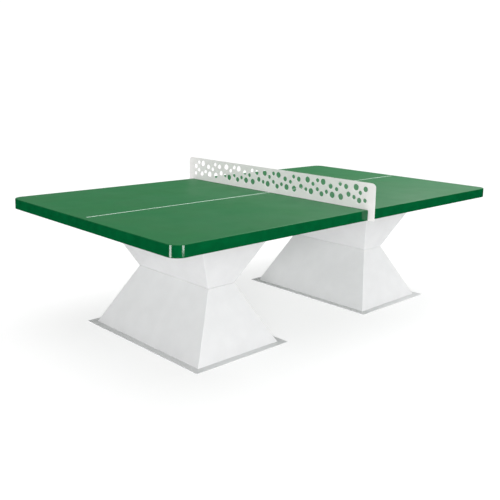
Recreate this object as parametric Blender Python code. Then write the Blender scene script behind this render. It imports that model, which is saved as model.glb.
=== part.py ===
"""Outdoor table tennis table: a cast top in two halves, a perforated steel net and two waisted steel legs.

Units are metres. The origin is on the floor under the middle of the net. +X runs along the table, +Y across it
and +Z up. "left" is the -X half and "right" the +X half. "front" faces -Y and "back" faces +Y.
"""

import math

import bmesh
import bpy

# Table top
TABLE_LENGTH = 2.740
TABLE_WIDTH = 1.525
TABLE_HEIGHT = 0.760
TOP_THICKNESS = 0.060
CORNER_RADIUS = 0.060
CORNER_SEGMENTS = 8
TOP_ARRIS = 0.005
UNDER_ARRIS = 0.003
JOINT_ARRIS_SHARE = 0.4
ARRIS_SEGMENTS = 3

# White centre line, a strip let into a groove
LINE_WIDTH = 0.008
LINE_DEPTH = 0.0012
LINE_END_MARGIN = 0.034
LINE_NET_MARGIN = 0.006

# Net
NET_HEIGHT = 0.1525
NET_THICKNESS = 0.003
NET_OVERHANG = 0.042
NET_CORNER_RADIUS = 0.025
NET_SMALL_RADIUS = 0.003
NET_CORNER_SEGMENTS = 6
NET_HOLE_SIDES = 12
NET_END_MARGIN = 0.069
NET_LOWEST_ROW = 0.030
NET_TOP_BORDER = 0.0195
SMALL = 0.025
MEDIUM = 0.031
LARGE = 0.037

# Net joint under the top
GASKET_THICKNESS = 0.002
GASKET_RECESS = 0.008
ANGLE_SIZE = 0.060
ANGLE_THICKNESS = 0.005
ANGLE_END_INSET = 0.2125
TONGUE_RISE = 0.005
CLAMP_BOLT_COUNT = 3
CLAMP_BOLT_DROP = 0.036
ANGLE_SCREW_COUNT = 2
BOLT_END_MARGIN = 0.080

# Legs: two mirrored frusta that meet at the waist
LEG_SPACING = 1.385
FOOT_LENGTH = 0.586
FOOT_WIDTH = 0.941
WAIST_LENGTH = 0.190
WAIST_WIDTH = 0.630
LEG_SHEET = 0.004
FLANGE_WIDTH = 0.042
LIP_WIDTH = 0.034
FLANGE_SCREW_INSET = 0.019
LIP_BOLT_INSET = 0.014
BACKING_THICKNESS = 0.008
WAIST_BOLTS_ALONG_WIDTH = 2
FLANGE_SCREWS_ALONG_WIDTH = 2
FLANGE_SCREW_SPREAD = 0.62
WAIST_BOLT_SPREAD = 0.60

# Fasteners, M10 throughout
SHANK_RADIUS = 0.005
HEAD_RADIUS = 0.0098
HEAD_HEIGHT = 0.0075
NUT_HEIGHT = 0.008
THREAD_BEYOND_NUT = 0.004
SCREW_REACH = 0.024
INSERT_RADIUS = 0.0080
INSERT_LENGTH = 0.028
INSERT_HOLE_SPARE = 0.004
ROUND_SIDES = 12
BOLT_HOLE_CLEARANCE = 0.0006

# Gaps
TOUCHING_GAP = 0.0003
MITRE_GAP = 0.0005

# Worked out from the sizes above
UNDERSIDE = TABLE_HEIGHT - TOP_THICKNESS
NET_HALF = TABLE_WIDTH / 2 + NET_OVERHANG
NET_TOP = TABLE_HEIGHT + NET_HEIGHT
JOINT_FACE = NET_THICKNESS / 2 + GASKET_THICKNESS + 2 * TOUCHING_GAP
ANGLE_HALF = TABLE_WIDTH / 2 - ANGLE_END_INSET
ANGLE_INNER = NET_THICKNESS / 2 + TOUCHING_GAP
ANGLE_OUTER = ANGLE_INNER + ANGLE_SIZE
ANGLE_SCREW_X = ANGLE_INNER + 0.6 * ANGLE_SIZE
CLAMP_BOLT_Z = UNDERSIDE - CLAMP_BOLT_DROP
TONGUE_BOTTOM = UNDERSIDE - ANGLE_SIZE + TONGUE_RISE
FRUSTUM_HEIGHT = (UNDERSIDE - 2 * TOUCHING_GAP) / 2
WAIST_Z = FRUSTUM_HEIGHT + TOUCHING_GAP / 2
BOLT_HOLE_RADIUS = SHANK_RADIUS + BOLT_HOLE_CLEARANCE
GROOVE_WIDTH = LINE_WIDTH + 2 * TOUCHING_GAP
GROOVE_DEPTH = LINE_DEPTH + TOUCHING_GAP
CUT_OVERSHOOT = 0.010
HEXAGON = math.cos(math.pi / 6)

# One repeat of the net's hole pattern: distance along the net from the repeat's start, height of the hole's
# centre as a share of the perforated band, and diameter.
PATTERN_PITCH = 0.362
PATTERN_START = 0.118
PATTERN = (
    (0.000, 0.39, MEDIUM),
    (0.019, 0.80, MEDIUM),
    (0.055, 0.18, LARGE),
    (0.062, 0.90, SMALL),
    (0.087, 0.56, SMALL),
    (0.118, 0.20, LARGE),
    (0.132, 0.68, MEDIUM),
    (0.162, 0.32, SMALL),
    (0.189, 0.86, LARGE),
    (0.199, 0.15, MEDIUM),
    (0.232, 0.90, SMALL),
    (0.232, 0.38, SMALL),
    (0.267, 0.65, SMALL),
    (0.281, 0.20, LARGE),
    (0.310, 0.85, LARGE),
    (0.322, 0.28, SMALL),
)
# Holes that finish the pattern at the net's front and back ends, measured inwards from the end of the band.
FRONT_END_HOLES = (
    (0.000, 0.81, MEDIUM),
    (0.001, 0.18, SMALL),
    (0.035, 0.57, SMALL),
    (0.041, 0.14, MEDIUM),
)
BACK_END_HOLES = (
    (0.002, 0.61, MEDIUM),
    (0.000, 0.13, SMALL),
)
FRONT_END_CLEAR = 0.055
BACK_END_CLEAR = 0.032

SIDES = {"left": -1, "right": 1}


def clear_scene():
    for obj in list(bpy.data.objects):
        bpy.data.objects.remove(obj, do_unlink=True)


def make_material(name, colour, roughness, metallic=0.0):
    material = bpy.data.materials.new(name)
    material.use_nodes = True
    shader = material.node_tree.nodes["Principled BSDF"]
    shader.inputs["Base Color"].default_value = (*colour, 1.0)
    shader.inputs["Roughness"].default_value = roughness
    shader.inputs["Metallic"].default_value = metallic
    return material


def add_object(name, bm, material):
    """Turns a bmesh into a named object whose faces point out."""
    bmesh.ops.recalc_face_normals(bm, faces=bm.faces)
    mesh = bpy.data.meshes.new(name)
    bm.to_mesh(mesh)
    bm.free()
    mesh.materials.append(material)
    obj = bpy.data.objects.new(name, mesh)
    bpy.context.scene.collection.objects.link(obj)
    return obj


def cut(target, cutter_bm):
    """Cuts every body of the cutter out of the target."""
    cutter = add_object(target.name + "_cutter", cutter_bm, target.data.materials[0])
    cutter.hide_render = True
    cutter.display_type = "WIRE"
    boolean = target.modifiers.new("holes", "BOOLEAN")
    boolean.operation = "DIFFERENCE"
    boolean.solver = "EXACT"
    boolean.object = cutter


def loft(bm, rings):
    """Joins rings with the same number of points into one closed body with flat ends."""
    rows = [[bm.verts.new(point) for point in ring] for ring in rings]
    count = len(rows[0])
    for low, high in zip(rows, rows[1:]):
        for i in range(count):
            j = (i + 1) % count
            bm.faces.new((low[i], low[j], high[j], high[i]))
    bm.faces.new(list(reversed(rows[0])))
    bm.faces.new(rows[-1])


def add_block(bm, low, high):
    corners = ((low[0], low[1]), (high[0], low[1]), (high[0], high[1]), (low[0], high[1]))
    loft(bm, [[(x, y, z) for x, y in corners] for z in (low[2], high[2])])


def arc(centre, radius, start_degrees, end_degrees, segments):
    points = []
    for i in range(segments + 1):
        angle = math.radians(start_degrees + (end_degrees - start_degrees) * i / segments)
        points.append((centre[0] + radius * math.cos(angle), centre[1] + radius * math.sin(angle)))
    return points


def ring_around(axis, centre, along, radius, sides, every_other=1.0):
    """Points round an axis through centre.

    every_other scales each second point, which turns 12 sides into a hexagon.
    """
    points = []
    for i in range(sides):
        angle = 2 * math.pi * i / sides
        reach = radius * (every_other if i % 2 else 1.0)
        across = reach * math.cos(angle)
        other = reach * math.sin(angle)
        if axis == "X":
            points.append((centre[0] + along, centre[1] + across, centre[2] + other))
        else:
            points.append((centre[0] + across, centre[1] + other, centre[2] + along))
    return points


def add_rod(bm, axis, centre, start, end, radius, sides):
    loft(bm, [ring_around(axis, centre, along, radius, sides) for along in (start, end)])


def hole_circumradius(radius, sides):
    """The corner radius of a many-sided hole whose flats are at the given radius."""
    return radius / math.cos(math.pi / sides)


def add_bolt(bm, axis, seat, direction, shank_length):
    """A hexagon bolt. seat is the centre of the bearing face and the shank runs from it along direction."""
    stations = (
        (-HEAD_HEIGHT * direction, HEAD_RADIUS, HEXAGON),
        (0.0, HEAD_RADIUS, HEXAGON),
        (0.0, SHANK_RADIUS, 1.0),
        (shank_length * direction, SHANK_RADIUS, 1.0),
    )
    loft(bm, [ring_around(axis, seat, along, radius, ROUND_SIDES, share) for along, radius, share in stations])


def loft_ring(bm, loops):
    """Joins loops round a hole, the last one back to the first."""
    rows = [[bm.verts.new(point) for point in loop] for loop in loops]
    count = len(rows[0])
    for row, following in zip(rows, rows[1:] + rows[:1]):
        for i in range(count):
            j = (i + 1) % count
            bm.faces.new((row[i], row[j], following[j], following[i]))


def add_tube(bm, axis, centre, start, end, outer, inner, sides, every_other=1.0):
    """A closed ring with a straight hole through it, such as a nut."""
    loops = (
        ring_around(axis, centre, start, outer, sides, every_other),
        ring_around(axis, centre, end, outer, sides, every_other),
        ring_around(axis, centre, end, inner, sides),
        ring_around(axis, centre, start, inner, sides),
    )
    loft_ring(bm, loops)


def spread(count, half_length):
    """Evenly spaced places from -half_length to half_length, or the middle for one."""
    if count == 1:
        return [0.0]
    return [half_length * (2 * i / (count - 1) - 1) for i in range(count)]


def half_outline(side, inset):
    """The plan of one half of the top, taken in by inset, with its two outer corners rounded."""
    end = TABLE_LENGTH / 2 - inset
    joint = JOINT_FACE + inset * JOINT_ARRIS_SHARE
    edge = TABLE_WIDTH / 2 - inset
    radius = CORNER_RADIUS - inset
    plan = [(joint, -edge)]
    plan += arc((end - radius, -edge + radius), radius, -90, 0, CORNER_SEGMENTS)
    plan += arc((end - radius, edge - radius), radius, 0, 90, CORNER_SEGMENTS)
    plan.append((joint, edge))
    return [(side * x, y) for x, y in plan]


def half_levels():
    """Pairs of inset and height that round the under and upper arrises of the top."""
    levels = []
    for i in range(ARRIS_SEGMENTS):
        angle = math.pi / 2 * i / (ARRIS_SEGMENTS - 1)
        levels.append((UNDER_ARRIS * (1 - math.sin(angle)), UNDERSIDE + UNDER_ARRIS * (1 - math.cos(angle))))
    for i in range(ARRIS_SEGMENTS + 1):
        angle = math.pi / 2 * i / ARRIS_SEGMENTS
        levels.append((TOP_ARRIS * (1 - math.cos(angle)), TABLE_HEIGHT - TOP_ARRIS * (1 - math.sin(angle))))
    return levels


def line_ends(side):
    near_net = side * (JOINT_FACE + LINE_NET_MARGIN)
    near_end = side * (TABLE_LENGTH / 2 - LINE_END_MARGIN)
    return min(near_net, near_end), max(near_net, near_end)


def angle_screw_places(side):
    half = ANGLE_HALF - BOLT_END_MARGIN
    return [(side * ANGLE_SCREW_X, y) for y in spread(ANGLE_SCREW_COUNT, half)]


def flange_screw_places(side):
    """Screws through the end flanges at a leg's top, as pairs of x and y."""
    centre = side * LEG_SPACING / 2
    out = FOOT_LENGTH / 2 + FLANGE_WIDTH - FLANGE_SCREW_INSET
    along = spread(FLANGE_SCREWS_ALONG_WIDTH, FLANGE_SCREW_SPREAD * FOOT_WIDTH / 2)
    return [(centre + way * out, y) for way in (-1, 1) for y in along]


def waist_bolt_places(side):
    """Bolts through the end lips at a leg's waist, as pairs of x and y."""
    centre = side * LEG_SPACING / 2
    out = WAIST_LENGTH / 2 - LIP_WIDTH + LIP_BOLT_INSET
    along = spread(WAIST_BOLTS_ALONG_WIDTH, WAIST_BOLT_SPREAD * WAIST_WIDTH / 2)
    return [(centre + way * out, y) for way in (-1, 1) for y in along]


def make_top_half(name, side, material):
    bm = bmesh.new()
    loft(bm, [[(x, y, z) for x, y in half_outline(side, inset)] for inset, z in half_levels()])
    half = add_object(name, bm, material)
    cutter = bmesh.new()
    start, end = line_ends(side)
    low = (start - TOUCHING_GAP, -GROOVE_WIDTH / 2, TABLE_HEIGHT - GROOVE_DEPTH)
    high = (end + TOUCHING_GAP, GROOVE_WIDTH / 2, TABLE_HEIGHT + CUT_OVERSHOOT)
    add_block(cutter, low, high)
    radius = hole_circumradius(INSERT_RADIUS, ROUND_SIDES)
    for x, y in flange_screw_places(side) + angle_screw_places(side):
        seat = (x, y, UNDERSIDE)
        add_rod(cutter, "Z", seat, -CUT_OVERSHOOT, INSERT_LENGTH + INSERT_HOLE_SPARE, radius, ROUND_SIDES)
    cut(half, cutter)


def make_centre_line(name, side, material):
    bm = bmesh.new()
    start, end = line_ends(side)
    low = (start, -LINE_WIDTH / 2, TABLE_HEIGHT - LINE_DEPTH)
    add_block(bm, low, (end, LINE_WIDTH / 2, TABLE_HEIGHT))
    add_object(name, bm, material)


def net_outline():
    """The net plate's outline in y and z: ears over the top's edges and a tongue between the halves."""
    big = NET_CORNER_RADIUS
    small = NET_SMALL_RADIUS
    plan = arc((NET_HALF - big, NET_TOP - big), big, 0, 90, NET_CORNER_SEGMENTS)
    plan += arc((-NET_HALF + big, NET_TOP - big), big, 90, 180, NET_CORNER_SEGMENTS)
    plan += arc((-NET_HALF + small, UNDERSIDE + small), small, 180, 270, 2)
    plan += [(-ANGLE_HALF, UNDERSIDE), (-ANGLE_HALF, TONGUE_BOTTOM)]
    plan += [(ANGLE_HALF, TONGUE_BOTTOM), (ANGLE_HALF, UNDERSIDE)]
    plan += arc((NET_HALF - small, UNDERSIDE + small), small, 270, 360, 2)
    return plan


def net_holes():
    """Centres and diameters of the net's holes, as y, z and diameter."""
    band_length = 2 * (NET_HALF - NET_END_MARGIN)
    band_height = NET_HEIGHT - NET_LOWEST_ROW - NET_TOP_BORDER
    found = list(FRONT_END_HOLES)
    repeats = math.ceil(band_length / PATTERN_PITCH)
    for repeat in range(-1, repeats):
        for along, share, diameter in PATTERN:
            place = PATTERN_START + repeat * PATTERN_PITCH + along
            if FRONT_END_CLEAR <= place <= band_length - BACK_END_CLEAR:
                found.append((place, share, diameter))
    found += [(band_length - along, share, diameter) for along, share, diameter in BACK_END_HOLES]
    lowest = TABLE_HEIGHT + NET_LOWEST_ROW
    holes = []
    for along, share, diameter in found:
        holes.append((along - band_length / 2, lowest + share * band_height, diameter))
    return holes


def clamp_bolt_places():
    return spread(CLAMP_BOLT_COUNT, ANGLE_HALF - BOLT_END_MARGIN)


def make_net(material):
    bm = bmesh.new()
    loft(bm, [[(x, y, z) for y, z in net_outline()] for x in (-NET_THICKNESS / 2, NET_THICKNESS / 2)])
    net = add_object("net_plate", bm, material)
    cutter = bmesh.new()
    for y, z, diameter in net_holes():
        add_rod(cutter, "X", (0, y, z), -CUT_OVERSHOOT, CUT_OVERSHOOT, diameter / 2, NET_HOLE_SIDES)
    radius = hole_circumradius(BOLT_HOLE_RADIUS, ROUND_SIDES)
    for y in clamp_bolt_places():
        add_rod(cutter, "X", (0, y, CLAMP_BOLT_Z), -CUT_OVERSHOOT, CUT_OVERSHOOT, radius, ROUND_SIDES)
    cut(net, cutter)


def make_gasket(name, side, material):
    bm = bmesh.new()
    inner = NET_THICKNESS / 2 + TOUCHING_GAP
    faces = sorted((side * inner, side * (inner + GASKET_THICKNESS)))
    half = TABLE_WIDTH / 2 - GASKET_RECESS
    add_block(bm, (faces[0], -half, UNDERSIDE + UNDER_ARRIS), (faces[1], half, TABLE_HEIGHT - GASKET_RECESS))
    add_object(name, bm, material)


def make_angle(name, side, material):
    top = UNDERSIDE - TOUCHING_GAP
    section = (
        (ANGLE_INNER, top),
        (ANGLE_OUTER, top),
        (ANGLE_OUTER, top - ANGLE_THICKNESS),
        (ANGLE_INNER + ANGLE_THICKNESS, top - ANGLE_THICKNESS),
        (ANGLE_INNER + ANGLE_THICKNESS, top - ANGLE_SIZE),
        (ANGLE_INNER, top - ANGLE_SIZE),
    )
    bm = bmesh.new()
    loft(bm, [[(side * x, y, z) for x, z in section] for y in (-ANGLE_HALF, ANGLE_HALF)])
    angle = add_object(name, bm, material)
    cutter = bmesh.new()
    radius = hole_circumradius(BOLT_HOLE_RADIUS, ROUND_SIDES)
    middle = side * (ANGLE_INNER + ANGLE_THICKNESS / 2)
    for y in clamp_bolt_places():
        add_rod(cutter, "X", (middle, y, CLAMP_BOLT_Z), -CUT_OVERSHOOT, CUT_OVERSHOOT, radius, ROUND_SIDES)
    for x, y in angle_screw_places(side):
        add_rod(cutter, "Z", (x, y, top), -CUT_OVERSHOOT - ANGLE_THICKNESS, CUT_OVERSHOOT, radius, ROUND_SIDES)
    cut(angle, cutter)


def make_clamp_fasteners(material):
    """Bolts through both angles and the net's tongue, heads on the left and nuts on the right."""
    face = ANGLE_INNER + ANGLE_THICKNESS + TOUCHING_GAP
    bore = hole_circumradius(SHANK_RADIUS + TOUCHING_GAP, ROUND_SIDES)
    for number, y in enumerate(clamp_bolt_places(), start=1):
        bolt = bmesh.new()
        add_bolt(bolt, "X", (-face, y, CLAMP_BOLT_Z), 1, 2 * face + NUT_HEIGHT + THREAD_BEYOND_NUT)
        add_object(f"net_clamp_bolt_{number}", bolt, material)
        nut = bmesh.new()
        centre = (face, y, CLAMP_BOLT_Z)
        add_tube(nut, "X", centre, 0.0, NUT_HEIGHT, HEAD_RADIUS, bore, ROUND_SIDES, HEXAGON)
        add_object(f"net_clamp_nut_{number}", nut, material)


def make_screws_into_top(name, places, plate_bottom, material):
    """Screws that hold a plate up to the underside of the top."""
    for number, (x, y) in enumerate(places, start=1):
        bm = bmesh.new()
        seat = (x, y, plate_bottom - TOUCHING_GAP)
        add_bolt(bm, "Z", seat, 1, UNDERSIDE + SCREW_REACH - seat[2])
        add_object(f"{name}_{number}", bm, material)


def panel_section(foot_half, waist_half):
    """A leg panel's section, as pairs of distance out from the leg's middle and height above its flange face.

    It runs from the out-turned flange up the sloping wall to the in-turned lip at the waist.
    """
    rise = FRUSTUM_HEIGHT - LEG_SHEET
    lean = (foot_half - waist_half) / rise
    level_thickness = LEG_SHEET * math.hypot(1, lean)
    inner_foot = foot_half + lean * LEG_SHEET - level_thickness
    inner_waist = waist_half + lean * LEG_SHEET - level_thickness
    return (
        (foot_half + FLANGE_WIDTH, 0.0),
        (foot_half + FLANGE_WIDTH, LEG_SHEET),
        (foot_half, LEG_SHEET),
        (waist_half, FRUSTUM_HEIGHT),
        (waist_half - LIP_WIDTH, FRUSTUM_HEIGHT),
        (waist_half - LIP_WIDTH, FRUSTUM_HEIGHT - LEG_SHEET),
        (inner_waist, FRUSTUM_HEIGHT - LEG_SHEET),
        (inner_foot, 0.0),
    )


def wall_place(foot_half, waist_half, height):
    """Distance of a wall's outer skin from the leg's middle at a height above the flange face."""
    rise = FRUSTUM_HEIGHT - LEG_SHEET
    return foot_half + (waist_half - foot_half) * (height - LEG_SHEET) / rise


def make_leg_panel(name, side, tier, face, material):
    """One folded sheet: flange, sloping wall and lip, mitred at both ends to meet its neighbours."""
    ends = face in ("inner", "outer")
    own = (FOOT_LENGTH / 2, WAIST_LENGTH / 2) if ends else (FOOT_WIDTH / 2, WAIST_WIDTH / 2)
    other = (FOOT_WIDTH / 2, WAIST_WIDTH / 2) if ends else (FOOT_LENGTH / 2, WAIST_LENGTH / 2)
    outward = {"inner": -side, "outer": side, "front": -1, "back": 1}[face]
    centre = side * LEG_SPACING / 2
    rings = ([], [])
    for out, height in panel_section(*own):
        half_width = wall_place(*other, height) + out - wall_place(*own, height) - MITRE_GAP / 2
        z = height if tier == "lower" else UNDERSIDE - TOUCHING_GAP - height
        for ring, width in zip(rings, (-half_width, half_width)):
            across = (outward * out, width) if ends else (width, outward * out)
            ring.append((centre + across[0], across[1], z))
    bm = bmesh.new()
    loft(bm, rings)
    panel = add_object(name, bm, material)
    cutter = bmesh.new()
    radius = hole_circumradius(BOLT_HOLE_RADIUS, ROUND_SIDES)
    places = [(x, y, WAIST_Z) for x, y in waist_bolt_places(side)]
    if tier == "upper":
        places += [(x, y, UNDERSIDE) for x, y in flange_screw_places(side)]
    for x, y, z in places:
        if ends and (x - centre) * outward > 0:
            add_rod(cutter, "Z", (x, y, z), -CUT_OVERSHOOT, CUT_OVERSHOOT, radius, ROUND_SIDES)
    if ends:
        cut(panel, cutter)
    else:
        cutter.free()


def make_waist_backing(name, side, material):
    """A tapped ring plate under the lower lips, which the waist bolts screw into."""
    top = FRUSTUM_HEIGHT - LEG_SHEET - TOUCHING_GAP
    centre = side * LEG_SPACING / 2
    outer = []
    inner = []
    for foot, waist in ((FOOT_LENGTH / 2, WAIST_LENGTH / 2), (FOOT_WIDTH / 2, WAIST_WIDTH / 2)):
        wall_inside = panel_section(foot, waist)[-2][0]
        outer.append(wall_inside - 2 * TOUCHING_GAP)
        inner.append(waist - LIP_WIDTH)
    signs = ((-1, -1), (1, -1), (1, 1), (-1, 1))
    loops = []
    bottom = top - BACKING_THICKNESS
    for half, z in ((outer, bottom), (outer, top), (inner, top), (inner, bottom)):
        loops.append([(centre + sx * half[0], sy * half[1], z) for sx, sy in signs])
    bm = bmesh.new()
    loft_ring(bm, loops)
    backing = add_object(name, bm, material)
    cutter = bmesh.new()
    bore = hole_circumradius(SHANK_RADIUS + TOUCHING_GAP, ROUND_SIDES)
    for x, y in waist_bolt_places(side):
        add_rod(cutter, "Z", (x, y, top), -CUT_OVERSHOOT - BACKING_THICKNESS, CUT_OVERSHOOT, bore, ROUND_SIDES)
    cut(backing, cutter)


def make_waist_bolts(name, side, material):
    """Bolts down through both lips at the waist into the backing plate."""
    seat_z = WAIST_Z + TOUCHING_GAP / 2 + LEG_SHEET + TOUCHING_GAP
    tip_z = FRUSTUM_HEIGHT - LEG_SHEET - TOUCHING_GAP - BACKING_THICKNESS - THREAD_BEYOND_NUT
    for number, (x, y) in enumerate(waist_bolt_places(side), start=1):
        bm = bmesh.new()
        add_bolt(bm, "Z", (x, y, seat_z), -1, seat_z - tip_z)
        add_object(f"{name}_{number}", bm, material)


def build():
    clear_scene()
    green_resin = make_material("green_resin", (0.045, 0.17, 0.075), 0.35)
    white_resin = make_material("white_resin", (0.75, 0.78, 0.74), 0.45)
    powder_coat = make_material("white_powder_coat", (0.72, 0.72, 0.71), 0.5)
    net_coat = make_material("pale_grey_powder_coat", (0.66, 0.67, 0.67), 0.45)
    zinc = make_material("zinc_plate", (0.55, 0.56, 0.57), 0.35, 1.0)
    rubber = make_material("black_rubber", (0.02, 0.02, 0.02), 0.8)

    make_net(net_coat)
    make_clamp_fasteners(zinc)
    angle_bottom = UNDERSIDE - TOUCHING_GAP - ANGLE_THICKNESS
    flange_bottom = UNDERSIDE - TOUCHING_GAP - LEG_SHEET
    for label, side in SIDES.items():
        make_top_half("top_half_" + label, side, green_resin)
        make_centre_line("centre_line_" + label, side, white_resin)
        make_gasket("net_gasket_" + label, side, rubber)
        make_angle("net_angle_" + label, side, powder_coat)
        make_screws_into_top("net_angle_screw_" + label, angle_screw_places(side), angle_bottom, zinc)
        leg = "leg_" + label
        for tier in ("lower", "upper"):
            for face in ("inner", "outer", "front", "back"):
                make_leg_panel(f"{leg}_{tier}_{face}", side, tier, face, powder_coat)
        make_waist_backing(leg + "_waist_backing", side, zinc)
        make_waist_bolts(leg + "_waist_bolt", side, zinc)
        make_screws_into_top(leg + "_top_screw", flange_screw_places(side), flange_bottom, zinc)


build()
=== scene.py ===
"""Visual model of an outdoor table tennis table, laid out as a Blender add-on and run as a script.

Units are metres in the frame's coordinates: the floor is z = 0, +X runs along the table and +Y across it.
"left" is the -X half and "right" the +X half, "front" faces -Y and "back" faces +Y.
"""

import math
import bmesh
import bpy
from bpy.props import FloatProperty, FloatVectorProperty, IntProperty, PointerProperty
from mathutils import Matrix, Vector


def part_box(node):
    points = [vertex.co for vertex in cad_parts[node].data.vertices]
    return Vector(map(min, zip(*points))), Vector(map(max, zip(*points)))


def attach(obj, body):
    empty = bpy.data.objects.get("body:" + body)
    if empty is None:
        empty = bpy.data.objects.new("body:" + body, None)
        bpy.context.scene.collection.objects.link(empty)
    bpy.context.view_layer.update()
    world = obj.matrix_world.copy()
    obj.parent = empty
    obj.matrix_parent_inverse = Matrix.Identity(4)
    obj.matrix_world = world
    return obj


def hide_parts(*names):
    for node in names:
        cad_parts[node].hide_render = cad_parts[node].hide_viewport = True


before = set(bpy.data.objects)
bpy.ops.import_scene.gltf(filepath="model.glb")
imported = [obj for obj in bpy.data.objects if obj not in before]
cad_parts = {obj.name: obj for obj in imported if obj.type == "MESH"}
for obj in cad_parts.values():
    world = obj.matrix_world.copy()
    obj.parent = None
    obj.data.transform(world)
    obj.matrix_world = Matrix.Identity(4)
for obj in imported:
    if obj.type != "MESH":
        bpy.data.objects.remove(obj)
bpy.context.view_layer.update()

bl_info = {
    "name": "Outdoor Table Tennis Table",
    "version": (1, 0, 0),
    "blender": (4, 5, 0),
    "location": "3D View > Sidebar > Table",
    "description": "Builds an outdoor table tennis table's finished surfaces around its CAD model",
    "category": "Object",
}

MM = 0.001
BODY = "root"
SIDES = {"left": -1, "right": 1}
SMOOTH_UNDER = math.radians(32)
ROUNDED_OVER = math.radians(50)


def linear_colour(text):
    """Turns an sRGB hex colour such as #0a6b3c into Blender's linear red, green and blue."""
    channels = [int(text[i:i + 2], 16) / 255 for i in (1, 3, 5)]
    return tuple(c / 12.92 if c <= 0.04045 else ((c + 0.055) / 1.055) ** 2.4 for c in channels)


def length(name, description, default):
    return FloatProperty(
        name=name, description=description, default=default, min=0.0, unit="LENGTH", precision=5
    )


def light_level(name, description, default, subtype="NONE"):
    return FloatProperty(name=name, description=description, default=default, min=0.0, subtype=subtype)


def camera_angle(name, description, degrees):
    return FloatProperty(name=name, description=description, default=math.radians(degrees), subtype="ANGLE")


def colour(name, description, default):
    return FloatVectorProperty(
        name=name,
        description=description,
        default=linear_colour(default),
        size=3,
        min=0.0,
        max=1.0,
        subtype="COLOR",
    )


# ---- Settings ----


class TopSettings(bpy.types.PropertyGroup):
    """The cast top, in two halves."""

    corner_radius: length("Corner Radius", "Radius of the top's four outer corners, in plan", 0.060)
    top_arris: length("Top Arris", "Radius that the playing surface's edge is rounded to", 0.005)
    under_arris: length("Under Arris", "Radius of the lower edge", 0.003)
    joint_share: FloatProperty(
        name="Joint Arris Share",
        description="How much of the arris is left where the halves meet at the net",
        default=0.4,
        min=0.0,
        max=1.0,
        subtype="FACTOR",
    )
    insert_length: length("Insert Length", "Length of the threaded inserts cast into the underside", 0.028)
    insert_radius: length("Insert Radius", "Outer radius of the threaded inserts", 0.008)
    green: colour("Playing Surface Green", "Colour of the satin playing surface", "#086c37")
    # The edge's green is darker than the playing surface's green: painted shade on the upright faces. Only its
    # gloss is a real difference.
    edge_green_painted_shade: colour("Edge Green", "Colour of the glossy edge", "#00532b")
    line_white: colour("Line White", "Colour of the inlaid centre line", "#e6f8ec")


class NetSettings(bpy.types.PropertyGroup):
    """The perforated steel net and the angles that hold it."""

    corner_radius: length("Ear Radius", "Radius of the net's two upper corners", 0.025)
    small_radius: length("Lower Radius", "Radius of the net's two lower corners", 0.003)
    edge_round: length("Edge Rounding", "How far the coating rounds the cut edges", 0.0007)
    root_radius: length("Angle Root Radius", "Radius inside the rolled angle", 0.006)
    toe_radius: length("Angle Toe Radius", "Radius at the ends of the rolled angle's arms", 0.0025)
    angle_thickness: length("Angle Thickness", "Thickness of the rolled angle's arms", 0.005)
    grey: colour("Net Grey", "Colour of the net's powder coat", "#f3efef")


class LegSettings(bpy.types.PropertyGroup):
    """The two waisted legs of folded and welded sheet steel."""

    foot_length: length("Foot Length", "Length of a leg's wall along the table, at the flange", 0.586)
    foot_width: length("Foot Width", "Width of a leg's wall across the table, at the flange", 0.941)
    waist_length: length("Waist Length", "Length of a leg along the table, at the waist", 0.190)
    waist_width: length("Waist Width", "Width of a leg across the table, at the waist", 0.630)
    sheet: length("Sheet Thickness", "Thickness of the sheet steel", 0.004)
    flange: length("Flange Width", "How far the floor and top flanges turn out", 0.042)
    lip: length("Lip Width", "How far the waist lips turn in", 0.034)
    bend_radius: length("Bend Radius", "Radius inside each fold", 0.0015)
    corner_radius: length("Corner Radius", "Radius of the welded and ground corners", 0.0025)
    edge_round: length("Edge Rounding", "How far the coating rounds the cut edges", 0.0006)
    white: colour("Leg White", "Colour of the legs' powder coat", "#e4e4e5")


class FastenerSettings(bpy.types.PropertyGroup):
    """Flanged hexagon bolts and nuts, M10."""

    shank_radius: length("Thread Radius", "Outer radius of the thread", 0.00495)
    pitch: length("Thread Pitch", "Distance from one thread to the next", 0.0015)
    across_flats: length("Across Flats", "Width of the hexagon across its flats", 0.0160)
    flange_radius: length("Flange Radius", "Radius of the flange under the head", 0.0105)
    flange_height: length("Flange Height", "Thickness of the flange at its rim", 0.0012)
    points: IntProperty(
        name="Points Round", description="Points round each fastener", default=24, min=12, max=96
    )
    zinc: colour("Zinc", "Colour of the zinc plate", "#b9bec2")


class StageSettings(bpy.types.PropertyGroup):
    """The floor, the light and the camera."""

    floor_grey: colour("Floor", "Colour of the lit floor panel's matt face", "#a2a2a2")
    floor_glow: light_level("Floor Glow", "Light given off by the floor panel", 0.68)
    ambient: light_level("Ambient", "Strength of the even light", 0.34)
    overhead: light_level("Overhead Light", "Strength of the light from above", 1.45)
    fill: light_level("Fill Light", "Strength of the low light from behind the camera", 1.85)
    front: light_level("Front Light", "Strength of the soft light from the front", 0.75)
    right: light_level("Right Light", "Power of the light high over the right end", 52.0, "POWER")
    strip: light_level("Strip Lights", "Power of the two lights that only show as streaks", 95.0, "POWER")
    camera_place: FloatVectorProperty(
        name="Camera Place",
        description="Where the camera stands",
        default=(-3.162, -3.026, 1.465),
        size=3,
        unit="LENGTH",
        subtype="TRANSLATION",
    )
    heading: camera_angle("Heading", "The camera's direction in plan, from +X towards +Y", 46.07)
    dip: camera_angle("Dip", "How far the camera looks down", 9.52)
    tilt: camera_angle("Tilt", "How far the camera leans about its own axis", 1.27)
    focal: FloatProperty(name="Lens", description="Focal length", default=50.1, subtype="DISTANCE_CAMERA")
    shift_x: FloatProperty(name="Shift X", description="Sideways, a share of the width", default=0.0154)
    shift_y: FloatProperty(name="Shift Y", description="Upwards, a share of the width", default=-0.108)


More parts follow.
